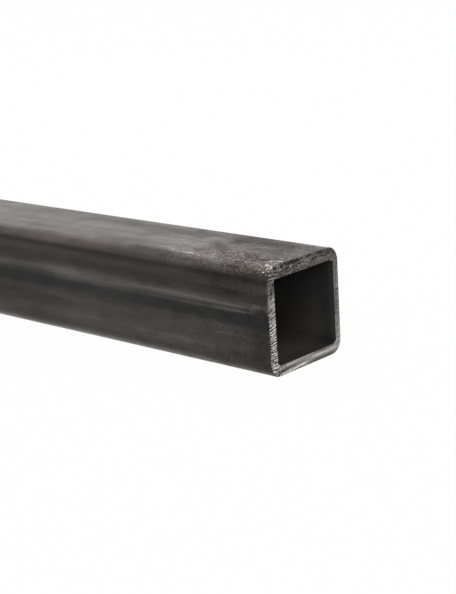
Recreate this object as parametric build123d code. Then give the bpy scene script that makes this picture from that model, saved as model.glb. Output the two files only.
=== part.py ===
"""Square steel tube, a rack length of welded hollow section, in one piece.

Strip is rolled round, its edges are welded together, and the round is then squared up between rolls. That
leaves four even walls with small rolled corners and a low rounded ridge along one wall, where the weld was
planed off. The length is sawn from a longer bar, so both ends are open.

Sizes are in millimetres. The tube lies along X on its bottom wall, with the welded wall facing -Y, and the
origin is in the middle of the bottom wall's underside.
"""

import os

from build123d import *

# The stock
LENGTH = 1000.0  # sawn end to sawn end
SIDE = 25.0  # across the flats, both ways
WALL = 2.5  # strip thickness
INNER_CORNER_RADIUS = 0.75  # inside of the bend at each corner

# The ridge left by the weld, on the -Y wall
WELD_HEIGHT = 14.75  # crest of the ridge above the underside
WELD_WIDTH = 6.0  # from one foot of the ridge to the other
WELD_RISE = 0.15  # crest above the flat of the wall

# The sawn ends
EDGE_BREAK = 0.25  # each leg of the chamfer that takes the burr off the outer edge

OUTER_CORNER_RADIUS = INNER_CORNER_RADIUS + WALL
INNER_SIDE = SIDE - 2 * WALL
CENTRE_HEIGHT = SIDE / 2
WELDED_WALL_Y = -SIDE / 2


def weld_ridge():
    """Face between the flat of the welded wall and the arc over the weld, in the section's plane."""
    lower_foot = (WELDED_WALL_Y, WELD_HEIGHT - WELD_WIDTH / 2)
    crest = (WELDED_WALL_Y - WELD_RISE, WELD_HEIGHT)
    upper_foot = (WELDED_WALL_Y, WELD_HEIGHT + WELD_WIDTH / 2)
    arc = ThreePointArc(lower_foot, crest, upper_foot)
    flat = Line(upper_foot, lower_foot)
    return make_face([arc, flat])


def outline():
    """Outside of the section: a rounded square with the weld's ridge on its -Y side."""
    square = RectangleRounded(SIDE, SIDE, OUTER_CORNER_RADIUS)
    return Pos(0, CENTRE_HEIGHT) * square + weld_ridge()


def hollow():
    """Inside of the section: a rounded square, one wall in from the outline all round."""
    return Pos(0, CENTRE_HEIGHT) * RectangleRounded(INNER_SIDE, INNER_SIDE, INNER_CORNER_RADIUS)


def outer_edges(tube):
    """The edges of both sawn ends that lie on the outside of the section."""
    edges = []
    for end in (tube.faces().sort_by(Axis.X)[0], tube.faces().sort_by(Axis.X)[-1]):
        edges += end.outer_wire().edges()
    return edges


def square_tube():
    """The section drawn out to its length, with the outer edge of each sawn end broken."""
    section = Plane.YZ * (outline() - hollow())
    tube = Pos(-LENGTH / 2, 0, 0) * extrude(section, amount=LENGTH)
    return chamfer(outer_edges(tube), EDGE_BREAK)


os.makedirs("parts", exist_ok=True)
export_step(square_tube(), "parts/square_tube.step")
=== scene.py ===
import math

import bmesh
import bpy
from mathutils import Matrix, Vector, noise


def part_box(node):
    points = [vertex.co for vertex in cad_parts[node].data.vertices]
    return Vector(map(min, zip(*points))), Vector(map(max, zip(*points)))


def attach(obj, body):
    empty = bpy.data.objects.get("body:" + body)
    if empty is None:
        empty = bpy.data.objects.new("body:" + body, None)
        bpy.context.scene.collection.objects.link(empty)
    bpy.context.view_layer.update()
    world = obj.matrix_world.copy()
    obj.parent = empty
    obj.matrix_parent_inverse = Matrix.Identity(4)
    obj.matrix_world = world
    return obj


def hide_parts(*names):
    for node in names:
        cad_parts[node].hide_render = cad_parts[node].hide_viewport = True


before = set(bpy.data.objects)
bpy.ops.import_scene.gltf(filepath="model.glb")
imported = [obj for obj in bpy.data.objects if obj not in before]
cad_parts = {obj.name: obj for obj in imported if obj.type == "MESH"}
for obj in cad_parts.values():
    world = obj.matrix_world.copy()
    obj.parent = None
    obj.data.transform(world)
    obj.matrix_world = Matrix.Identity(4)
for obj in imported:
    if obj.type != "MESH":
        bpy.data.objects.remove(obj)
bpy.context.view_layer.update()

# ---- The tube
# One length of mild steel strip, bent round, welded along one wall and squared up between rolls. The
# scale of the hot mill is still on it, and the weld was planed off outside. A saw cut it to length, so
# both ends are bare.
MM = 0.001
WALL = 2.5 * MM
INNER_CORNER_RADIUS = 0.75 * MM
OUTER_CORNER_RADIUS = WALL + INNER_CORNER_RADIUS
EDGE_BREAK = 0.25 * MM  # chamfer round the outside of each sawn end

WELD_HEIGHT = 14.75 * MM  # crest of the planed weld above the underside, on the wall that faces -Y
WELD_HALF_WIDTH = 3.0 * MM
WELD_RISE = 0.15 * MM
PLANED_LINES = ((15.05 * MM, 0.22 * MM), (13.90 * MM, 0.40 * MM))  # height and half width of each groove
PLANED_DEPTH = 0.05 * MM

low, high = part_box("square_tube")
SIDE = high.z - low.z
HALF_SIDE = SIDE / 2
LEFT_END, RIGHT_END = low.x, high.x
CORE = HALF_SIDE - OUTER_CORNER_RADIUS  # half the distance between the centres of two bends

OUTSIDE, SAWN, INSIDE = range(3)  # the tube's three finishes
SAME_PLACE = 0.001 * MM  # places closer together than this count as one

# How finely the mesh is cut: each bend, each flat, the flat once more over the weld, each sawn face from
# its outer edge to its inner one, and the end of the tube once more round the section.
BEND_STEPS, FLAT_STEPS, WELD_STEPS, SAWN_RINGS, END_STEPS = 8, 24, 4, 14, 5
END_ZONE = 2.4 * MM  # how much of each end is cut finer


def clamp(value, least, most):
    """The value, or the limit that it lies beyond."""
    return max(least, min(most, value))


def outward(point):
    """The direction out of the wall at a point of the section."""
    across, up = point.y, point.z - HALF_SIDE
    centre = Vector((0, clamp(across, -CORE, CORE), clamp(up, -CORE, CORE)))
    return (Vector((0, across, up)) - centre).normalized()


def depth_in_wall(point):
    """How deep in the wall a point of the section is, from 0 at the outside to 1 at the inside."""
    across, up = point.y, point.z - HALF_SIDE
    from_core = math.hypot(across - clamp(across, -CORE, CORE), up - clamp(up, -CORE, CORE))
    return (OUTER_CORNER_RADIUS - from_core) / WALL


def by_weld(point, within, margin=0.0):
    """Whether a point lies within a depth of the welded wall's outside, and at the height of the weld."""
    return point.y < -HALF_SIDE + within and abs(point.z - WELD_HEIGHT) < WELD_HALF_WIDTH + margin


def growing_steps(total, first, growth, widest):
    """Places from 0 to total, close together at both ends and further apart in between."""
    places = [0.0]
    step = first
    while places[-1] + step < total / 2:
        places.append(places[-1] + step)
        step = min(step * growth, widest)
    return places + [total - place for place in reversed(places)]


tube = bmesh.new()
corners = [
    tube.verts.new((LEFT_END + EDGE_BREAK, across * HALF_SIDE, HALF_SIDE + up * HALF_SIDE))
    for across, up in ((-1, -1), (1, -1), (1, 1), (-1, 1))
]
for start, end in zip(corners, corners[1:] + corners[:1]):
    tube.edges.new((start, end))
bmesh.ops.bevel(
    tube,
    geom=corners,
    offset=OUTER_CORNER_RADIUS,
    offset_type="OFFSET",
    affect="VERTICES",
    segments=BEND_STEPS,
    profile=0.5,
    material=-1,
)
flats = [edge for edge in tube.edges if edge.calc_length() > OUTER_CORNER_RADIUS]
bmesh.ops.subdivide_edges(tube, edges=flats, cuts=FLAT_STEPS - 1)
over_weld = [edge for edge in tube.edges if all(by_weld(vert.co, WALL / 10, MM) for vert in edge.verts)]
bmesh.ops.subdivide_edges(tube, edges=over_weld, cuts=WELD_STEPS - 1)

# The section is drawn out along the outside, then down across the sawn end, back through the bore and up
# across the other end. Each stop has a place along the tube, a depth in the wall and the finish up to it.
outside_run = growing_steps(
    RIGHT_END - LEFT_END - 2 * EDGE_BREAK, first=0.15 * MM, growth=1.045, widest=15 * MM
)
inside_run = growing_steps(RIGHT_END - LEFT_END, first=0.3 * MM, growth=1.3, widest=40 * MM)
across_wall = [EDGE_BREAK + (WALL - EDGE_BREAK) * i / SAWN_RINGS for i in range(SAWN_RINGS + 1)]
route = [(LEFT_END + EDGE_BREAK + run, 0.0, OUTSIDE) for run in outside_run[1:]]
route += [(RIGHT_END, EDGE_BREAK, OUTSIDE)]
route += [(RIGHT_END, depth, SAWN) for depth in across_wall[1:]]
route += [(RIGHT_END - run, WALL, INSIDE) for run in inside_run[1:]]
route += [(LEFT_END, depth, SAWN) for depth in reversed(across_wall[:-1])]
route += [(LEFT_END + EDGE_BREAK, 0.0, OUTSIDE)]

first_ring = list(tube.verts)
ring = list(tube.edges)
depth_now = 0.0
for along, depth, finish in route:
    made = bmesh.ops.extrude_edge_only(tube, edges=ring)["geom"]
    last_ring = [item for item in made if isinstance(item, bmesh.types.BMVert)]
    made_edges = [item for item in made if isinstance(item, bmesh.types.BMEdge)]
    ring = [edge for edge in made_edges if edge.is_boundary]
    for face in (item for item in made if isinstance(item, bmesh.types.BMFace)):
        face.material_index = finish
    for vert in last_ring:
        vert.co += outward(vert.co) * (depth_now - depth)
        vert.co.x = along
    depth_now = depth
bmesh.ops.remove_doubles(tube, verts=first_ring + last_ring, dist=SAME_PLACE)
bmesh.ops.recalc_face_normals(tube, faces=tube.faces)



def round_end(edge):
    """Whether an edge is near an end and runs round the section, not along the tube or through a wall."""
    way = edge.verts[1].co - edge.verts[0].co
    off_course = max(abs(way.x), abs(outward(edge.verts[0].co).dot(way)))
    near_end = all(abs(vert.co.x) > RIGHT_END - END_ZONE for vert in edge.verts)
    return near_end and off_course < 0.5 * way.length


# The last of each end is cut finer round the section, for the saw's marks, its burr and the wear.
round_edges = [edge for edge in tube.edges if round_end(edge)]
bmesh.ops.subdivide_edges(tube, edges=round_edges, cuts=END_STEPS - 1, use_grid_fill=True)


def rise_of_weld(height):
    """How far the planed weld stands out of its wall at a height above the underside."""
    bulge = max(0.0, 1 - ((height - WELD_HEIGHT) / WELD_HALF_WIDTH) ** 2) * WELD_RISE
    grooves = sum(max(0.0, 1 - ((height - at) / half) ** 2) for at, half in PLANED_LINES)
    return bulge - PLANED_DEPTH * min(1.0, grooves)


# Places on a sawn face are given across and up from the middle of the end. The two ends differ in the seed
# of their noise.
RIGHT_SEED, LEFT_SEED = 0.0, 50.0
TOOTH_PITCH = 0.78 * MM
TOOTH_DEPTH = 0.08 * MM
BLADE_SLANT = 0.28  # how far the marks climb across the end at its middle height
SLANT_REACH = 9 * MM  # above and below the middle of the end, where the marks lie level again
PLAIN_HEIGHT = 0.72  # the height of mark that leaves the steel neither lighter nor darker


def rough(across, up, wide, tall, seed):
    """Noise between about -1 and 1, in patches of a width and a height given in mm."""
    return noise.noise(Vector((across / (wide * MM), up / (tall * MM), seed)))


def tooth_mark(across, up, seed, coarse):
    """Height of the saw's mark at a point of a sawn face, from 0 in its valley to 1 on its ridge. Every
    third tooth of the blade is set wider, and cuts deeper."""
    slant = BLADE_SLANT * max(0.0, math.cos(math.pi / 2 * up / SLANT_REACH))
    crossing = up - slant * across
    passed = crossing / TOOTH_PITCH + 0.5 * rough(across, crossing, 1.8, 2.5, seed)
    ridge = 0.5 + 0.5 * math.cos(2 * math.pi * passed)
    set_wide = 0.75 + 0.25 * math.cos(2 * math.pi * passed / 3)
    strength = 0.15 + 0.35 * coarse + 1.3 * rough(across, crossing, 0.6, 0.9, seed + 7)
    cut = clamp(strength * set_wide, 0, 1) * (1 - ridge) ** 1.4
    streak = 0.45 * rough(across, crossing, 2.2, 0.3, seed + 3)
    return clamp(1 - cut + streak, 0, 1)


def part_way(start, end, share):
    """The values a share of the way from one list of values to another."""
    return [one + share * (other - one) for one, other in zip(start, end)]


def through(points, place):
    """The values at a place, in straight lines between the rows of a table: places, and their values."""
    for (start, *first), (end, *last) in zip(points, points[1:]):
        if place < end:
            return part_way(first, last, max(0.0, (place - start) / (end - start)))
    return list(points[-1][1:])


def sum_marks(table, along, aside):
    """Adds up the marks of a table at a point, in mm. Each mark is given by its middle, its half length
    and half width, its climb from left to right, and its strength, which is below 0 where it darkens."""
    lift = 0.0
    for (middle_along, middle_aside), (half_length, half_width), climb, strength in table:
        run = along - middle_along
        off = aside - middle_aside - climb * run
        lift += strength * math.exp(-((run / half_length) ** 4) - (off / half_width) ** 2)
    return lift


# How the saw left the four walls of an end: mm from the wall's middle, how light it is, and how coarse. The
# blade went down the left wall with its teeth chattering, and rubbed the bottom one smooth. How light each
# wall is stands partly for the steel's own finish and partly for painted light and shade, for how the marks
# on each wall catch the light.
LEFT_WALL = (
    (-12.5, 0.44, 1.8), (-10.0, 0.46, 2.4), (-8.5, 0.40, 2.5), (-6.0, 0.46, 2.8),
    (-3.5, 0.38, 2.8), (-2.0, 0.48, 2.4), (0.0, 0.37, 1.7), (3.0, 0.27, 1.1),
    (5.6, 0.31, 0.7), (6.6, 0.13, 0.6), (7.6, 0.03, 0.6), (9.0, 0.10, 0.7),
    (10.5, 0.14, 0.8), (12.5, 0.18, 0.8),
)
TOP_WALL = (
    (-12.5, 0.18, 0.9), (-10.0, 0.12, 1.1), (-7.0, 0.08, 1.2), (-4.5, 0.06, 1.2),
    (-1.5, 0.07, 1.0), (0.8, 0.16, 0.7), (3.5, 0.11, 0.6), (8.0, 0.10, 0.4),
    (10.0, 0.07, 0.3), (12.5, 0.14, 0.3),
)
RIGHT_WALL = (
    (-12.5, 0.48, 0.2), (-10.0, 0.38, 0.3), (-7.0, 0.25, 0.4), (-5.0, 0.28, 0.4),
    (-3.0, 0.14, 0.4), (0.0, 0.11, 0.4), (3.0, 0.18, 0.4), (5.0, 0.17, 0.4),
    (8.0, 0.13, 0.4), (12.5, 0.12, 0.3),
)
BOTTOM_WALL = (
    (-12.5, 0.42, 1.4), (-9.5, 0.27, 1.0), (-7.5, 0.26, 0.4), (-4.0, 0.28, 0.15),
    (0.0, 0.31, 0.1), (6.0, 0.30, 0.1), (12.5, 0.42, 0.1),
)

# Lighter and darker marks on the cut: across and up from the middle of the end, in mm. Many are the blade's
# burnish and smears. A few small bright ones on the top wall are painted glints, the dark ones along the
# outer edge of the top wall are painted shadow under the burr, and the bright strip down the outer edge of
# the right wall is painted light from the white beyond it.
SMEARS_AND_PAINTED_LIGHT = (
    # the top wall
    ((-10.2, 11.10), (1.3, 0.45), 0.00, -0.04),
    ((-9.6, 12.15), (0.9, 0.34), 0.00, 0.13),
    ((-9.4, 11.95), (1.5, 0.20), 0.00, 0.15),
    ((-8.2, 11.20), (0.6, 0.20), 0.30, 0.28),
    ((-8.1, 12.38), (0.5, 0.16), 0.00, -0.20),
    ((-7.0, 11.98), (0.5, 0.24), 0.00, 0.10),
    ((-6.9, 12.12), (0.8, 0.28), 0.00, 0.15),
    ((-6.8, 10.95), (2.6, 0.34), 0.00, -0.15),
    ((-6.8, 10.02), (1.2, 0.18), 0.00, -0.14),
    ((-6.6, 12.15), (1.9, 0.14), 0.00, -0.12),
    ((-6.0, 11.10), (1.3, 0.45), 0.00, -0.08),
    ((-5.1, 11.80), (0.6, 0.24), 0.00, -0.10),
    ((-4.2, 10.40), (0.7, 0.20), 0.10, 0.24),
    ((-4.1, 11.50), (0.5, 0.25), 0.20, 0.24),
    ((-3.4, 12.04), (1.9, 0.20), 0.00, -0.12),
    ((-1.0, 11.20), (0.4, 0.45), 0.00, -0.20),
    ((0.0, 10.60), (9.6, 0.50), 0.00, -0.045),
    ((0.6, 11.15), (1.7, 0.50), 0.00, 0.06),
    ((1.3, 12.10), (0.9, 0.26), 0.00, -0.13),
    ((2.3, 11.45), (1.0, 0.30), 0.00, 0.15),
    ((3.0, 12.10), (1.2, 0.20), 0.00, -0.08),
    ((7.4, 11.90), (2.3, 0.35), -0.08, -0.12),
    ((7.4, 11.80), (1.3, 0.35), 0.00, -0.09),
    # the left wall
    ((-10.8, 7.6), (0.6, 1.2), 0.00, -0.11),
    ((-12.15, 7.2), (0.35, 1.3), 0.00, 0.12),
    ((-11.3, 6.6), (0.5, 0.4), 0.00, -0.10),
    ((-10.5, 3.4), (0.35, 1.6), 0.00, 0.09),
    ((-11.3, 2.5), (0.4, 0.4), 0.00, -0.12),
    ((-11.9, 1.5), (0.30, 0.45), 0.00, 0.20),
    ((-12.0, 0.9), (0.4, 1.0), 0.00, -0.10),
    ((-11.6, 0.4), (0.8, 0.5), 0.00, -0.08),
    ((-10.9, -0.7), (0.8, 0.6), 0.00, 0.06),
    ((-10.3, -1.9), (0.25, 0.9), 0.00, -0.20),
    ((-11.1, -2.5), (0.5, 0.35), 0.00, 0.20),
    ((-10.8, -3.0), (0.55, 3.4), 0.00, 0.13),
    ((-11.8, -3.5), (0.5, 0.6), 0.00, -0.10),
    ((-11.2, -3.5), (0.5, 0.35), 0.00, -0.12),
    ((-12.1, -4.5), (0.35, 2.6), 0.00, -0.13),
    ((-11.0, -4.5), (0.5, 0.35), 0.00, 0.18),
    ((-10.3, -5.9), (0.25, 1.2), 0.00, -0.22),
    ((-11.2, -7.5), (0.4, 0.4), 0.00, 0.18),
    ((-11.6, -8.5), (0.40, 0.45), 0.00, -0.24),
    ((-11.4, -9.6), (0.5, 0.35), 0.00, -0.10),
    # the right wall
    ((10.6, -1.0), (0.4, 9.0), 0.00, -0.055),
    ((11.62, -1.0), (0.28, 10.0), 0.00, 0.11),
    ((10.6, -7.6), (0.4, 3.0), 0.00, -0.06),
    ((11.62, -8.3), (0.28, 1.6), 0.00, 0.12),
    # the bottom wall
    ((-11.1, -10.90), (0.4, 0.50), 0.00, 0.22),
    ((-9.5, -11.70), (0.8, 0.25), 0.00, -0.16),
    ((-9.2, -10.55), (1.9, 0.48), 0.00, -0.16),
    ((-9.2, -11.38), (1.8, 0.30), 0.03, -0.15),
    ((-8.2, -10.25), (1.0, 0.16), 0.00, -0.10),
    ((-6.0, -10.52), (3.5, 0.13), 0.06, 0.38),
    ((-5.4, -11.00), (3.9, 0.24), 0.00, -0.14),
    ((-5.0, -11.92), (4.8, 0.28), 0.055, 0.54),
    ((-3.6, -12.15), (1.8, 0.20), 0.00, -0.10),
    ((-1.6, -11.56), (0.9, 0.28), 0.00, 0.20),
    ((0.5, -10.10), (3.0, 0.20), 0.00, 0.09),
    ((0.6, -12.20), (3.2, 0.14), 0.00, -0.14),
    ((0.9, -11.75), (1.0, 0.25), 0.00, 0.12),
    ((1.0, -10.70), (0.8, 0.50), 0.00, -0.07),
    ((5.2, -12.00), (5.2, 0.30), 0.04, -0.18),
    ((5.9, -10.97), (4.3, 0.34), 0.00, 0.30),
    ((6.2, -10.10), (4.6, 0.30), 0.00, -0.24),
    ((7.5, -12.00), (1.6, 0.30), 0.00, -0.10),
    ((8.6, -11.75), (1.4, 0.30), 0.00, -0.06),
)

TOWARDS_BORE = 0.14  # how much lighter the cut is at the bore than at the outside
LIP_SHADE, LIP_SHADE_DEPTH = 0.20, 0.16  # painted shade along the top of the bore, and its share of the wall


def sawn_finish(across, up, depth):
    """How light the steel is at a point of a sawn face, with its painted light and shade, and how coarse it
    is, apart from the teeth's marks.
    """
    beside = through(LEFT_WALL if across < 0 else RIGHT_WALL, up / MM)
    level = through(TOP_WALL if up > 0 else BOTTOM_WALL, across / MM)
    light, coarse = part_way(level, beside, clamp(0.5 + (abs(across) - abs(up)) / MM, 0, 1))
    overhead = clamp((up - abs(across)) / MM, 0, 1)
    light += TOWARDS_BORE * (depth - 0.5) + sum_marks(SMEARS_AND_PAINTED_LIGHT, across / MM, up / MM)
    light -= LIP_SHADE * overhead * math.exp(-(((1 - depth) / LIP_SHADE_DEPTH) ** 2))
    fine_lines = 0.16 * rough(across, up - 0.06 * across, 5, 0.35, 11.0)
    return light + fine_lines, coarse


# Where the outside is lighter and shinier, or darker and duller: distance from the right-hand end, and
# distance round the section from the middle of the top towards the welded wall, in mm. On the top and its
# bends these are rubbed and dull patches of scale. On the welded wall they are painted light and shade.
RUBBED_AND_SHADED = (
    # the flat of the top
    ((1.0, 0.2), (0.9, 3.0), 0.00, 0.07),
    ((3.0, 2.0), (1.2, 7.0), 0.00, 0.05),
    ((10.3, 1.2), (1.6, 1.3), 0.00, -0.11),
    ((12.2, -2.4), (3.4, 1.3), 0.00, 0.13),
    ((13.5, -4.4), (3.0, 2.2), 0.00, 0.04),
    ((17.5, -5.6), (9.5, 3.4), 0.00, -0.17),
    ((17.5, 1.8), (2.0, 1.2), 0.00, 0.07),
    ((20.0, -7.2), (4.0, 0.9), 0.00, -0.08),
    ((21.0, -2.8), (4.0, 1.5), 0.00, -0.06),
    ((24.3, 1.0), (3.0, 1.5), -0.50, -0.24),
    ((26.6, 3.8), (1.6, 1.0), 0.00, 0.09),
    ((27.8, -4.0), (3.4, 2.2), 0.00, 0.17),
    ((35.0, 2.8), (9.0, 3.6), -0.08, 0.17),
    ((44.0, -1.0), (5.0, 1.6), 0.00, -0.05),
    ((48.0, -6.2), (24.0, 2.2), 0.00, -0.11),
    ((62.0, -0.6), (14.0, 2.4), 0.00, 0.11),
    ((69.0, -5.6), (6.0, 1.0), 0.00, -0.07),
    ((84.0, -1.5), (6.0, 2.2), 0.00, 0.08),
    ((118.0, 0.0), (17.0, 7.0), 0.00, 0.05),
    # its edge and the bend beside the weld
    # the first two, at the very end, are painted shadow under the burr
    ((1.1, 8.0), (0.9, 0.5), 0.00, -0.13),
    ((1.2, 5.0), (0.9, 0.8), 0.00, -0.17),
    ((1.2, 10.8), (0.9, 1.2), 0.00, 0.24),
    ((4.8, 5.2), (1.3, 0.8), 0.00, -0.10),
    ((5.1, 6.6), (1.1, 0.6), 0.00, -0.06),
    ((6.2, 5.6), (2.0, 0.9), 0.00, -0.05),
    ((6.3, 8.0), (2.4, 0.6), 0.00, -0.07),
    ((7.0, 12.0), (6.2, 0.9), 0.00, -0.20),
    ((7.4, 7.1), (1.7, 1.0), 0.00, -0.19),
    ((9.6, 8.9), (3.2, 0.6), 0.00, 0.10),
    ((10.0, 5.4), (1.6, 1.0), -0.20, -0.18),
    ((10.5, 10.3), (2.4, 1.2), 0.00, -0.15),
    ((12.0, 13.9), (7.0, 0.45), 0.00, -0.14),
    ((12.5, 9.9), (0.8, 0.4), 0.00, -0.07),
    ((14.2, 6.9), (2.2, 0.9), 0.00, -0.10),
    ((15.0, 5.0), (1.4, 0.8), 0.00, 0.06),
    ((15.0, 9.1), (1.5, 0.7), 0.00, -0.15),
    ((18.4, 6.6), (2.0, 0.8), 0.00, -0.10),
    ((18.6, 8.5), (2.2, 0.8), 0.00, 0.20),
    ((19.4, 4.6), (2.3, 1.1), -0.50, -0.11),
    ((20.0, 10.4), (6.5, 1.0), -0.08, 0.10),
    ((21.2, 8.0), (1.5, 0.6), 0.00, 0.12),
    ((24.2, 5.0), (1.4, 0.8), 0.00, -0.06),
    ((24.2, 10.3), (1.5, 0.5), 0.00, 0.12),
    ((25.4, 9.2), (3.4, 0.8), -0.12, 0.32),
    ((28.5, 5.9), (3.0, 1.1), 0.00, -0.10),
    ((29.4, 9.1), (2.3, 0.6), -0.10, 0.31),
    ((30.0, 5.1), (1.4, 0.7), 0.00, -0.07),
    ((33.0, 10.0), (1.6, 0.4), 0.00, -0.07),
    ((33.2, 7.9), (2.4, 0.7), -0.20, 0.32),
    ((34.0, 10.5), (9.5, 0.8), 0.00, -0.24),
    ((47.0, 9.2), (8.0, 1.2), 0.00, -0.04),
    ((58.0, 5.2), (7.0, 1.0), 0.00, -0.05),
    ((68.0, 9.2), (14.0, 1.0), 0.00, -0.04),
    ((72.0, 7.6), (26.0, 2.4), 0.00, -0.05),
    # the welded wall, where the marks are painted light and shade
    ((1.8, 21.2), (2.0, 0.9), 0.00, -0.26),
    ((2.0, 17.5), (2.2, 1.4), 0.00, 0.08),
    ((2.0, 27.5), (2.4, 5.5), 0.00, -0.14),
    ((3.2, 19.9), (1.3, 0.6), 0.00, 0.35),
    ((3.9, 20.9), (1.7, 0.35), 0.00, 0.25),
    ((4.4, 20.5), (3.2, 0.5), 0.00, -0.28),
    ((8.0, 19.4), (8.5, 0.5), 0.00, -0.06),
    ((8.0, 31.4), (6.5, 0.9), 0.00, -0.22),
    ((11.5, 21.4), (5.5, 0.5), 0.00, 0.28),
    ((12.0, 17.2), (5.0, 1.0), 0.00, -0.12),
    ((13.4, 14.9), (3.0, 0.9), 0.00, -0.20),
    ((26.0, 30.4), (6.0, 0.9), 0.00, 0.14),
    ((29.0, 26.8), (6.0, 1.4), 0.00, 0.16),
    ((52.0, 25.6), (14.0, 0.8), 0.00, -0.12),
    ((57.0, 21.4), (14.0, 0.9), 0.00, 0.26),
    ((60.0, 18.7), (14.0, 0.8), 0.00, 0.22),
    ((95.0, 27.5), (28.0, 4.5), 0.00, -0.26),
)
# Where the scale is thin and brown, in the same way.
BROWN = (
    ((12.6, 26.2), (5.0, 1.7), 0.00, 0.36),
    ((17.0, -5.0), (10.0, 3.6), 0.00, 0.20),
    ((20.5, 16.4), (4.5, 1.2), 0.00, 0.15),
    ((36.0, 16.0), (8.0, 1.1), 0.00, 0.20),
)
# Where it is worn through to bright steel, in the same way.
WORN_BRIGHT = (
    ((0.4, 10.5), (0.4, 0.25), 0.00, 1.20),
    ((0.4, 11.5), (0.4, 0.25), 0.00, 1.20),
    ((1.4, 9.5), (1.4, 0.9), 0.00, 0.66),
    ((2.2, 9.7), (1.7, 0.8), 0.00, 0.50),
    ((2.4, 9.1), (0.5, 0.30), 0.05, 1.60),
    ((2.6, 5.7), (1.3, 0.24), 0.38, 2.80),
    ((4.6, 7.7), (2.6, 0.7), 0.00, 0.46),
    ((9.8, 9.0), (5.5, 1.0), 0.00, 0.60),
    ((17.0, 10.5), (4.0, 0.9), -0.06, 0.52),
    ((18.8, 8.7), (1.2, 0.5), 0.00, 0.80),
    ((23.8, 9.5), (3.2, 0.6), -0.12, 0.74),
    ((26.8, 9.0), (2.0, 0.5), 0.00, 1.00),
    ((31.6, 8.7), (2.8, 0.5), -0.30, 1.00),
)
OUTSIDE_MARKS = {"rubbed_and_shaded": RUBBED_AND_SHADED, "brown": BROWN, "bared": WORN_BRIGHT}

# The burr round an end: mm from the middle of the top, how far it stands out in mm, and how bright its
# crest is.
BURR = (
    (-11.0, 0.00, 0.3), (-9.5, 0.22, 0.3), (-6.0, 0.34, 0.4), (-1.0, 0.36, 0.5),
    (1.5, 0.40, 0.7), (3.0, 0.48, 0.7), (6.4, 0.57, 0.6), (8.6, 0.62, 0.7),
    (9.6, 0.50, 0.7), (10.8, 0.26, 0.7), (12.0, 0.08, 0.3), (13.0, 0.00, 0.0),
)
BURR_FOOT, BURR_RUN = 0.5 * MM, 0.35 * MM  # how far it reaches down the sawn face, and along the outside
FAR_EDGE_BREAK = 0.27 * MM  # how much more of the outer edge is gone on the wall that faces +Y
EDGE_ZONE = 8 * MM  # the burr and the broken edge change no more of each end than this

# How far the saw dragged the inner edge into the bore, or broke it away where less than 0: over the top,
# at the two sides, and at three corners, each with the way to it across and up.
LIP_OVER, LIP_LEFT, LIP_RIGHT = 0.27 * MM, -0.12 * MM, -0.34 * MM
LIP_CORNERS = ((1, 1, 0.52 * MM), (1, -1, 0.28 * MM), (-1, -1, 0.24 * MM))
LIP_FOOT = 0.6  # the depth in the wall from which the sawn face is dragged
LIP_RUN = 0.7 * MM  # how far the drag runs on into the bore
LIP_ZONE = 3 * MM  # it changes no more of each end than this


def round_section(across, up):
    """Distance round the outside from the middle of the top, towards the welded wall, in mm."""
    turned = math.atan2(max(0.0, abs(across) - CORE), max(1e-9, up - CORE))
    run = min(abs(across), CORE) + OUTER_CORNER_RADIUS * turned + max(0.0, CORE - up)
    return -math.copysign(run, across) / MM


def burr(spot, seed):
    """How far the saw's burr stands out round the outer edge of an end, and how bright its crest is. It is
    a torn fin along the top, highest by the welded wall, and next to nothing elsewhere."""
    torn = noise.noise(Vector((spot / 1.2, seed, 31.0)))
    torn += 0.5 * noise.noise(Vector((spot / 0.5, seed, 37.0)))
    fin, bright = through(BURR, spot)
    return (fin * (1 + 0.20 * torn) + 0.05 * torn) * MM, bright


def lip(out):
    """How far the inner edge is dragged into the bore, by the direction out of the wall there."""
    drag = max(0.0, out.z) ** 2 * LIP_OVER
    drag += max(0.0, -out.y) ** 2 * LIP_LEFT + max(0.0, out.y) ** 2 * LIP_RIGHT
    for across, up, corner in LIP_CORNERS:
        drag += (2 * max(0.0, across * out.y) * max(0.0, up * out.z)) ** 2 * corner
    return drag


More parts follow.
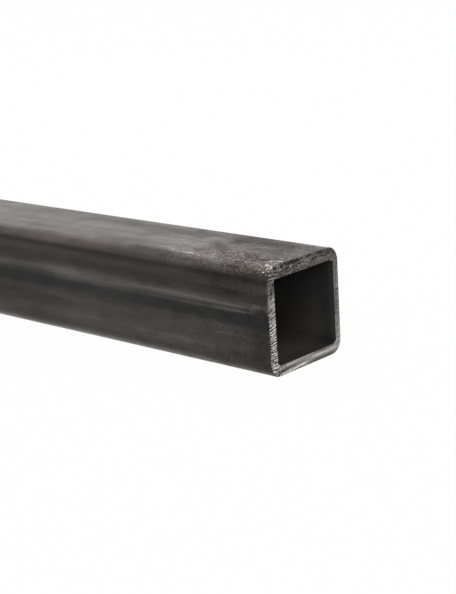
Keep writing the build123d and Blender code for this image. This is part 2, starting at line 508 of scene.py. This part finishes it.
# Each point of the mesh is given what the finishes read of it, and its last small moves.
layer = {
    name: tube.verts.layers.float.new(name)
    for name in ("tooth_marks", "polish_and_painted_light", "coarse", "rubbed_and_shaded", "brown", "bared")
}
for vert in tube.verts:
    across, up = vert.co.y, vert.co.z - HALF_SIDE
    spot = round_section(across, up)
    out, depth = outward(vert.co), depth_in_wall(vert.co)
    from_end = RIGHT_END - abs(vert.co.x)
    to_middle = -math.copysign(1.0, vert.co.x)
    seed = RIGHT_SEED if vert.co.x > 0 else LEFT_SEED
    sawn = from_end < SAME_PLACE

    # The wear of the outside.
    if depth < 0.5 and not sawn:
        for name, table in OUTSIDE_MARKS.items():
            vert[layer[name]] = sum_marks(table, (RIGHT_END - vert.co.x) / MM, spot)

    # The outer edge: the burr stands out of it, and on the wall that faces +Y more of it is broken away.
    if depth < 0.9 and from_end < EDGE_ZONE:
        fin, bright = burr(spot, seed)
        gone = clamp((across / MM - 10) / 2, 0, 1) * FAR_EDGE_BREAK
        if sawn:
            near_edge = max(0.0, 1 - (depth * WALL - EDGE_BREAK) / BURR_FOOT)
            vert.co += out * (fin - gone) * near_edge
        else:
            near_edge = math.exp(-((from_end / BURR_RUN) ** 2))
            vert.co += out * fin * near_edge
            vert.co.x += to_middle * gone * math.exp(-from_end / MM)
        vert[layer["bared"]] += bright * near_edge

    # The inner edge, dragged into the bore.
    if depth > LIP_FOOT and from_end < LIP_ZONE:
        dragged = (depth - LIP_FOOT) / (1 - LIP_FOOT) if sawn else math.exp(-((from_end / LIP_RUN) ** 2))
        vert.co -= out * lip(out) * dragged

    # The weld, which fades away towards the inside of its wall.
    if by_weld(vert.co, WALL):
        vert.co.y -= rise_of_weld(vert.co.z) * (1 - depth)

    # The sawn face, and what its finish reads of it.
    if sawn:
        light, coarse = sawn_finish(across, up, depth)
        height = tooth_mark(across, up, seed, coarse)
        vert[layer["polish_and_painted_light"]] = light
        vert[layer["coarse"]] = coarse
        vert[layer["tooth_marks"]] = (height - PLAIN_HEIGHT) * (0.4 + 0.6 * coarse)
        vert.co.x += to_middle * TOOTH_DEPTH * (1 - height)

# The edges round each sawn face are sharp, and all the others are shaded smooth.
for edge in tube.edges:
    finishes = {face.material_index for face in edge.link_faces}
    edge.smooth = not (SAWN in finishes and len(finishes) == 2)

tube_mesh = bpy.data.meshes.new("square_tube_steel")
tube.to_mesh(tube_mesh)
tube.free()
for polygon in tube_mesh.polygons:
    polygon.use_smooth = True
square_tube = bpy.data.objects.new("square_tube_steel", tube_mesh)
bpy.context.scene.collection.objects.link(square_tube)
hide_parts("square_tube")
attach(square_tube, "root")


def linear(hex_colour):
    """A colour given as sRGB hex, as the linear values that a shader reads."""
    parts = [int(hex_colour[i : i + 2], 16) / 255 for i in (1, 3, 5)]
    return (*(c / 12.92 if c <= 0.04045 else ((c + 0.055) / 1.055) ** 2.4 for c in parts), 1)


def add_node(tree, kind, inputs=(), output=0, **settings):
    """Adds a shader node with its settings and returns one of its outputs. Each input, in order or by its
    name or number, is a value or the output that feeds it."""
    node = tree.nodes.new("ShaderNode" + kind)
    for name, value in settings.items():
        setattr(node, name, value)
    for name, value in inputs.items() if isinstance(inputs, dict) else enumerate(inputs):
        if isinstance(value, bpy.types.NodeSocket):
            tree.links.new(value, node.inputs[name])
        else:
            node.inputs[name].default_value = value
    return node.outputs[output] if node.outputs else node


SMOOTH = {"interpolation_type": "SMOOTHSTEP"}  # a range that turns gently at both of its ends


def finish_material(name):
    """A new finish on the tube: its node tree, its shader, and the places that its patterns follow."""
    material = bpy.data.materials.new(name)
    material.use_nodes = True
    tube_mesh.materials.append(material)
    tree = material.node_tree
    return tree, tree.nodes["Principled BSDF"], add_node(tree, "TexCoord", output="Object")


def mottle(tree, place, size, drawn_out=1.0, detail=2.0, climb=0.0):
    """Patches of a size, drawn out along the tube as rolling leaves them. Their middle is 0.5."""
    turn = {"Vector": place, "Rotation": (0, -climb, 0), "Scale": (drawn_out, 1, 1)}
    rolled = add_node(tree, "Mapping", turn, vector_type="TEXTURE")
    return add_node(tree, "TexNoise", {"Vector": rolled, "Scale": 1 / size, "Detail": detail})


def stripe(tree, value, middle, half_width):
    """1 where a value is at the middle, falling smoothly to 0 at half a width either side."""
    off = add_node(tree, "Math", (value, middle), operation="SUBTRACT")
    off = add_node(tree, "Math", (off,), operation="ABSOLUTE")
    return add_node(tree, "MapRange", (off, half_width, 0.0), **SMOOTH)


def overlap(tree, *areas):
    """Where several areas overlap. An area's value goes from 0 outside it to 1 inside, and one of them may
    be a plain number, which sets how far the result goes."""
    shared = areas[0]
    for area in areas[1:]:
        shared = add_node(tree, "Math", (shared, area), operation="MULTIPLY")
    return shared


def layered(tree, tone, layers):
    """Lays patterns over a tone, each with its weight and its middle. A pattern is centred on its middle,
    so that it adds no tone of its own."""
    for pattern, weight, middle in layers:
        centred = add_node(tree, "Math", (pattern, middle), operation="SUBTRACT")
        tone = add_node(tree, "Math", (centred, weight, tone), operation="MULTIPLY_ADD")
    return tone


def tones(tree, tone, colours):
    """Turns a tone from 0 to 1 into a colour, through evenly spaced ones."""
    made = add_node(tree, "ValToRGB", (tone,))
    ramp = made.node.color_ramp
    while len(ramp.elements) < len(colours):
        ramp.elements.new(0.5)
    for i, colour in enumerate(colours):
        ramp.elements[i].position = i / (len(colours) - 1)
        ramp.elements[i].color = linear(colour)
    return made


# Mill scale on rolled mild steel: a thin blue-black oxide, smooth enough to shine at a low angle and dull
# where it is scuffed. It is brown where it is thin, streaky along the rolling direction, and worn to bright
# steel in specks.
tree, steel, place = finish_material("mill_scale_on_rolled_steel")
x, y, z = (add_node(tree, "SeparateXYZ", (place,), axis) for axis in "XYZ")
rubbed_and_shaded, brown, bared = (
    add_node(tree, "Attribute", output="Fac", attribute_name=name)
    for name in ("rubbed_and_shaded", "brown", "bared")
)
from_middle = add_node(tree, "Math", (x,), operation="ABSOLUTE")
from_end = add_node(tree, "Math", (RIGHT_END, from_middle), operation="SUBTRACT")
from_right = add_node(tree, "Math", (RIGHT_END, x), operation="SUBTRACT")
above_middle = add_node(tree, "Math", (z, HALF_SIDE), operation="SUBTRACT")
away = add_node(tree, "Math", (above_middle,), operation="ABSOLUTE")  # up or down from the middle
aside = add_node(tree, "Math", (y,), operation="ABSOLUTE")  # to either side of it

# The patterns of the scale, from coarse to fine, and those that rolling drew out along it. The real grain
# and speckle are finer than these, and are drawn as coarse as they need to show.
clouds = mottle(tree, place, 9 * MM, 2.6, 2)
patches = mottle(tree, place, 2.8 * MM, 1.8, 2)
dents = mottle(tree, place, 1.3 * MM, 1.5, 3)
grain = mottle(tree, place, 0.45 * MM, 1.3, 2)
speckle = mottle(tree, place, 0.28 * MM, 1.4, 2)
roll_lines = mottle(tree, place, 0.8 * MM, 40, 2)
streaks = mottle(tree, place, 2.4 * MM, 7, 3, math.radians(4))

# Both ends are handled more than the middle, and mottled by it.
handled = add_node(tree, "MapRange", (from_end, 48 * MM, 8 * MM), **SMOOTH)
cloudy = add_node(tree, "MapRange", (from_end, 55 * MM, 18 * MM, 0.25, 1.0), **SMOOTH)

# Tones across the welded wall, from the underside up: height above it in mm, and tone. Over the planed
# weld, the light band above its crest and the dark one below it are painted light and shade of its two
# slopes, and the wall turns dark where the bend begins.
WELD_TONES = (
    (0.0, 0.48), (2.4, 0.54), (3.5, 0.62), (5.0, 0.74), (6.5, 0.70), (8.5, 0.62),
    (10.0, 0.64), (11.4, 0.36), (12.4, 0.02), (13.5, 0.02), (14.1, 0.16), (14.6, 0.42),
    (15.05, 0.48), (15.5, 0.70), (16.2, 0.80), (16.8, 0.62), (17.6, 0.42), (18.6, 0.24),
    (19.6, 0.36), (20.4, 0.48), (21.3, 0.42), (22.3, 0.18), (22.9, 0.52), (24.0, 0.50),
)
PLAIN_TONE = 0.5  # of the other three walls

# The bands wander up and down a little as they run along the wall.
welded = add_node(tree, "MapRange", (y, -CORE, -CORE - 1.5 * MM), **SMOOTH)
wander = layered(tree, z, [(mottle(tree, place, 9 * MM, 6, 1), 1.6 * MM, 0.5)])
share_of_height = add_node(tree, "Math", (wander, SIDE), operation="DIVIDE")
band = add_node(tree, "FloatCurve", {"Value": share_of_height})
curve = band.node.mapping.curves[0]
curve.points[0].location = (0, WELD_TONES[0][1])
curve.points[1].location = (1, WELD_TONES[-1][1])
for height, band_tone in WELD_TONES[1:]:
    curve.points.new(height * MM / SIDE, band_tone)
band.node.mapping.update()
wall_tone = add_node(tree, "MapRange", (welded, 0.0, 1.0, PLAIN_TONE, band))

# Two fine bright lines along the planed weld are painted highlights. They draw together towards the end,
# and the last of the wall below the weld is dark.
drift = add_node(tree, "MapRange", (from_end, 24 * MM, 11 * MM, 0.0, -0.42 * MM), **SMOOTH)
drifted = add_node(tree, "Math", (wander, drift), operation="SUBTRACT")
upper_line = stripe(tree, drifted, 16.15 * MM, 0.36 * MM)
lower_line = stripe(tree, wander, 14.55 * MM, 0.28 * MM)
fading_in = add_node(tree, "MapRange", (from_end, 48 * MM, 26 * MM), **SMOOTH)
fading_out = add_node(tree, "MapRange", (from_end, 2 * MM, 6 * MM), **SMOOTH)
lines = add_node(tree, "Math", (upper_line, lower_line), operation="ADD")
lines = overlap(tree, lines, welded, fading_in, fading_out)
at_last = add_node(tree, "MapRange", (from_end, 14 * MM, 1 * MM), **SMOOTH)
below_weld = add_node(tree, "MapRange", (z, 15.5 * MM, 13 * MM), **SMOOTH)
last = overlap(tree, at_last, welded, below_weld)

# The bends are rubbed lighter and brown, from where they leave the wall to where they meet the flat.
# Towards the ends those of the top are scuffed to a fine light grit, and the one beside the weld is
# battered, together with the edge of the top.
leaving_flat = add_node(tree, "MapRange", (away, HALF_SIDE - 2.3 * MM, HALF_SIDE - 1.3 * MM), **SMOOTH)
bend = overlap(tree, leaving_flat, add_node(tree, "MapRange", (aside, 8.2 * MM, 10.6 * MM), **SMOOTH))
top = add_node(tree, "MapRange", (z, SIDE - 0.8 * MM, SIDE - 0.1 * MM), **SMOOTH)
near_top = add_node(tree, "MapRange", (z, SIDE - 1.9 * MM, SIDE - 1.0 * MM), **SMOOTH)
top_bend = overlap(tree, near_top, add_node(tree, "MapRange", (aside, 6.5 * MM, 9 * MM), **SMOOTH))
scuffed = overlap(tree, top_bend, add_node(tree, "MapRange", (from_end, 22 * MM, 3 * MM), **SMOOTH))
by_the_weld = add_node(tree, "MapRange", (y, -1 * MM, -7 * MM), **SMOOTH)
upper_edge = add_node(tree, "MapRange", (z, SIDE - 2.4 * MM, SIDE - 1.2 * MM), **SMOOTH)
towards_end = add_node(tree, "MapRange", (from_end, 44 * MM, 6 * MM), **SMOOTH)
battered = overlap(tree, by_the_weld, upper_edge, towards_end)
# The chamfer round each end is painted darker over the top, a painted shadow under the burr, and lighter
# down the walls and underside, a painted highlight along the edge.
broken_edge = add_node(tree, "MapRange", (from_end, 0.35 * MM, 0.2 * MM), **SMOOTH)
edge_shade_and_highlight = add_node(tree, "MapRange", (z, SIDE - 3 * MM, SIDE - 1 * MM, 0.35, -0.4), **SMOOTH)

tone = layered(
    tree,
    wall_tone,
    [
        (lines, 0.34, 0.0),
        (last, -0.30, 0.0),
        (bend, 0.30, 0.0),
        # the top is painted a little lighter: a painted sheen
        (top, 0.13, 0.0),
        (scuffed, 0.14, 0.0),
        (speckle, overlap(tree, scuffed, 2.6), 0.5),
        (clouds, 0.38, 0.5),
        (streaks, 0.55, 0.5),
        (roll_lines, 0.3, 0.5),
        (patches, 0.35, 0.5),
        (grain, overlap(tree, handled, 0.62), 0.5),
        (broken_edge, edge_shade_and_highlight, 0.0),
        (grain, overlap(tree, battered, 0.9), 0.5),
        (dents, overlap(tree, battered, 0.8), 0.5),
        (rubbed_and_shaded, 1.0, 0.0),
    ],
)
blue_black = tones(tree, tone, ("#0d0d0d", "#1e1d1c", "#302e2b", "#494745", "#656361"))
brown_black = tones(tree, tone, ("#110d0a", "#241d17", "#392e25", "#54483c", "#74655a"))

# The top is browner towards the weld and towards the ends. The bends and the upper part of the walls are
# a little brown all along.
across_top = add_node(tree, "MapRange", (y, 6 * MM, -7 * MM, -0.15, 0.45), **SMOOTH)
near_end = add_node(tree, "MapRange", (from_end, 70 * MM, 16 * MM, 0.0, 0.20), **SMOOTH)
top_brown = add_node(tree, "Math", (across_top, near_end), operation="ADD")
flat = add_node(tree, "MapRange", (aside, 10 * MM, 8.8 * MM, 0.25, 1.0), **SMOOTH)
under_bend = stripe(tree, away, HALF_SIDE - 2.2 * MM, 2.4 * MM)
upper_wall = add_node(tree, "MapRange", (z, SIDE - 8 * MM, SIDE - 6 * MM, 0.0, 0.30), **SMOOTH)
brown = layered(
    tree,
    brown,
    [
        (overlap(tree, top, top_brown, flat), 1.0, 0.0),
        (under_bend, 0.22, 0.0),
        (upper_wall, 1.0, 0.0),
        (mottle(tree, place, 7 * MM, 3, 1), 0.6, 0.45),
    ],
)
brown = add_node(tree, "Clamp", (brown,))
oxide = add_node(tree, "Mix", {0: brown, 6: blue_black, 7: brown_black}, 2, data_type="RGBA")

# Bright steel shows on the crest of the burr, in flecks where the scale is worn through, and in specks
# where the bends meet the burr. The smallest are drawn coarser than they are, so that they show.
near_burr = add_node(tree, "MapRange", (from_end, 10 * MM, 0.4 * MM, 0.0, 0.63), **SMOOTH)
bruised = overlap(tree, top_bend, near_burr)
through_scale = add_node(tree, "Math", (bared, bruised), operation="MAXIMUM")
worn = layered(tree, through_scale, [(mottle(tree, place, 0.34 * MM, 1.3, 1), 3.6, 0.5)])
worn = add_node(tree, "MapRange", (worn, 0.75, 1.55), **SMOOTH)
worn = overlap(tree, worn, add_node(tree, "MapRange", (through_scale, 0.1, 0.4), **SMOOTH))
coloured = add_node(tree, "Mix", {0: worn, 6: oxide, 7: linear("#dedbd6")}, 2, data_type="RGBA")
tree.links.new(coloured, steel.inputs["Base Color"])
tree.links.new(worn, steel.inputs["Metallic"])

# The scale is duller where it is handled and in the weld's band of painted shade. It is shinier where the
# marks of the outside lighten it, and duller where they darken it. Its clouds show more in the shine
# farther from the right-hand end, and the last of the top is pitted beside the weld.
ROUGH_MIDDLE, ROUGH_ENDS = 0.295, 0.41
SMOOTHEST, ROUGHEST = 0.12, 0.7
dull = add_node(tree, "MapRange", (from_end, 48 * MM, 8 * MM, ROUGH_MIDDLE, ROUGH_ENDS), **SMOOTH)
clouding = add_node(tree, "MapRange", (from_right, 90 * MM, 140 * MM, -0.3, -0.75), **SMOOTH)
pitted = overlap(
    tree,
    top,
    add_node(tree, "MapRange", (from_end, 5 * MM, 1.5 * MM), **SMOOTH),
    add_node(tree, "MapRange", (y, 2 * MM, -3 * MM), **SMOOTH),
)
dark_band = overlap(tree, welded, add_node(tree, "Math", (PLAIN_TONE, band), operation="SUBTRACT"))
dull = layered(
    tree,
    dull,
    [
        (clouds, clouding, 0.5),
        (patches, overlap(tree, cloudy, -0.48), 0.5),
        (grain, overlap(tree, handled, -0.42), 0.5),
        (rubbed_and_shaded, -1.0, 0.0),
        (grain, overlap(tree, battered, -1.7), 0.5),
        (dents, overlap(tree, battered, -1.6), 0.5),
        (speckle, overlap(tree, pitted, -1.8), 0.5),
        (dark_band, 0.35, 0.0),
    ],
)
dull = add_node(tree, "Clamp", {"Value": dull, "Min": SMOOTHEST, "Max": ROUGHEST})
tree.links.new(dull, steel.inputs["Roughness"])
steel.inputs["Specular IOR Level"].default_value = 0.25

# The rolled surface is uneven in patches and in its grain, more so near the ends.
relief = layered(
    tree,
    0.0,
    [
        (patches, overlap(tree, cloudy, 0.35 * MM), 0.5),
        (grain, overlap(tree, handled, 0.12 * MM), 0.5),
    ],
)
uneven = add_node(tree, "Bump", {"Height": relief, "Distance": 1.0, "Strength": 1.0})
tree.links.new(uneven, steel.inputs["Normal"])

# Freshly sawn mild steel: bare metal, smooth where the side of the blade rubbed it. It is lighter on the
# ridges that the teeth left and darker in between, partly from the burnish of the teeth and partly as
# painted light and shade of the marks. Its lightness across each wall carries more painted light and shade.
# The crumbs that the teeth tore out of it are finer than these, and are drawn as coarse as they need to
# show.
tree, steel, place = finish_material("sawn_mild_steel")
teeth, polish_and_light, coarse = (
    add_node(tree, "Attribute", output="Fac", attribute_name=name)
    for name in ("tooth_marks", "polish_and_painted_light", "coarse")
)
crumbs = mottle(tree, place, 0.4 * MM, 1, 2)
tone = layered(tree, polish_and_light, [(teeth, 0.72, 0.0), (crumbs, coarse, 0.5)])
bare = tones(tree, tone, ("#2a2928", "#696765", "#9b9997", "#c5c3c2", "#e5e4e3"))
tree.links.new(bare, steel.inputs["Base Color"])
steel.inputs["Metallic"].default_value = 1.0
steel.inputs["Roughness"].default_value = 0.4

# The strip's inside face: mill scale that nothing has rubbed, dull and nearly black. It is painted darkest
# overhead and lighter towards the bottom, as painted shade from above and painted light thrown up from
# below, and a little brown rust lies towards the bottom.
tree, steel, place = finish_material("dull_scale_in_the_bore")
x, y, z = (add_node(tree, "SeparateXYZ", (place,), axis) for axis in "XYZ")
from_middle = add_node(tree, "Math", (x,), operation="ABSOLUTE")
from_end = add_node(tree, "Math", (RIGHT_END, from_middle), operation="SUBTRACT")
CEILING = HALF_SIDE + 9 * MM
# Painted shade overhead and painted light from below: darker at the ceiling and lighter at the floor, less
# so at the mouth, and a little lighter a few mm in. The floor is darker near the end.
inside = add_node(tree, "MapRange", (z, CEILING, HALF_SIDE - 8 * MM, -0.02, 0.98))
at_mouth = add_node(tree, "MapRange", (z, CEILING, HALF_SIDE - 9 * MM, 0.14, 0.50))
tone = add_node(tree, "MapRange", (from_end, 6 * MM, 0.5 * MM, inside, at_mouth), **SMOOTH)
near_mouth = add_node(tree, "MapRange", (from_end, 16 * MM, 5 * MM, 0.0, 0.07), **SMOOTH)
settled = add_node(tree, "MapRange", (z, WALL + 3.0 * MM, WALL + 0.1 * MM), **SMOOTH)
floor_by_end = overlap(tree, settled, add_node(tree, "MapRange", (from_end, 12 * MM, 3 * MM), **SMOOTH))
patches = mottle(tree, place, 8 * MM, 2.5, 3)
tone = layered(tree, tone, [(patches, 0.5, 0.5), (near_mouth, 1.0, 0.0), (floor_by_end, -0.25, 0.0)])
dull = tones(tree, tone, ("#141414", "#303030", "#424141", "#545251", "#6b6865"))
rusty = tones(tree, tone, ("#1e1a18", "#342e2b", "#48403b", "#5a504a", "#6b6058"))
in_patches = add_node(tree, "MapRange", (patches, 0.35, 0.6), **SMOOTH)
clear_of_far_wall = add_node(tree, "MapRange", (y, 9 * MM, 5 * MM), **SMOOTH)
rust = overlap(tree, settled, in_patches, clear_of_far_wall)
scale = add_node(tree, "Mix", {0: rust, 6: dull, 7: rusty}, 2, data_type="RGBA")
tree.links.new(scale, steel.inputs["Base Color"])
steel.inputs["Roughness"].default_value = 0.65
steel.inputs["Specular IOR Level"].default_value = 0.25

# ---- Camera
# It stands beyond the right-hand end, on the side of the welded wall and a little above, and is tilted a
# little. The first two angles are the direction that it stands in, seen from the tube.
AZIMUTH, ELEVATION, ROLL = math.radians(-46.728), math.radians(15.566), math.radians(-3.619)
CAMERA_PLACE = (0.69815, -0.23518, 0.10254)
LENS = 87.5  # mm
back = Vector((math.cos(AZIMUTH), math.sin(AZIMUTH), math.tan(ELEVATION))).normalized()
level_side = (-back).cross(Vector((0, 0, 1))).normalized()
level_up = level_side.cross(-back)
side = math.cos(ROLL) * level_side + math.sin(ROLL) * level_up
up = -math.sin(ROLL) * level_side + math.cos(ROLL) * level_up
camera_data = bpy.data.cameras.new("camera")
camera_data.lens = LENS
camera_data.clip_start = 0.01
camera = bpy.data.objects.new("camera", camera_data)
bpy.context.scene.collection.objects.link(camera)
turned = Matrix((side, up, back)).transposed().to_4x4()
camera.matrix_world = Matrix.Translation(CAMERA_PLACE) @ turned
bpy.context.scene.camera = camera

bpy.context.scene.view_settings.view_transform = "Standard"

# ---- Floor
# A sheet of white paper, far larger than the tube. It looks evenly white, and still takes the tube's faint
# shadow and throws light back under it.
FLOOR_HALF_SIDE = 8
EVENLY_WHITE = 0.985  # how much of what is seen of the paper is plain white, and not its lit surface
floor_mesh = bpy.data.meshes.new("floor")
sheet = bmesh.new()
bmesh.ops.create_grid(sheet, x_segments=1, y_segments=1, size=FLOOR_HALF_SIDE)
sheet.to_mesh(floor_mesh)
sheet.free()
floor = bpy.data.objects.new("floor", floor_mesh)
bpy.context.scene.collection.objects.link(floor)
paper = bpy.data.materials.new("white_paper")
paper.use_nodes = True
tree = paper.node_tree
tree.nodes.clear()


def seen(tree):
    """1 for the rays that show a thing: straight to the camera, mirrored in metal, or through glass."""
    shown = 0.0
    for kind in ("Is Camera Ray", "Is Glossy Ray", "Is Transmission Ray"):
        ray = add_node(tree, "LightPath", output=kind)
        shown = add_node(tree, "Math", (shown, ray), operation="MAXIMUM")
    return shown


matt = add_node(tree, "BsdfDiffuse", {"Color": linear("#f4f4f4")})
white = add_node(tree, "Emission", {"Color": linear("#ffffff"), "Strength": 1.0})
lit = add_node(tree, "MixShader", (overlap(tree, seen(tree), EVENLY_WHITE), matt, white))
add_node(tree, "OutputMaterial", {"Surface": lit})
floor_mesh.materials.append(paper)

# ---- Light
# A white room with one large soft lamp overhead. The room lights the tube at half the strength that it is
# seen and mirrored at.
ROOM_LIGHT = 0.5
LAMP_SIZE = (1.6, 1.0)
LAMP_PLACE = (0.2, 0.3, 1.1)
LAMP_WATTS = 6
world = bpy.data.worlds.new("studio")
world.use_nodes = True
bpy.context.scene.world = world
tree = world.node_tree
tree.nodes.clear()
strength = add_node(tree, "MapRange", (seen(tree), 0.0, 1.0, ROOM_LIGHT, 1.0))
sky = add_node(tree, "Background", {"Color": linear("#ffffff"), "Strength": strength})
add_node(tree, "OutputWorld", {"Surface": sky})

lamp_data = bpy.data.lights.new("overhead", "AREA")
lamp_data.shape = "RECTANGLE"
lamp_data.size, lamp_data.size_y = LAMP_SIZE
lamp_data.energy = LAMP_WATTS
lamp = bpy.data.objects.new("overhead", lamp_data)
lamp.location = LAMP_PLACE
bpy.context.scene.collection.objects.link(lamp)
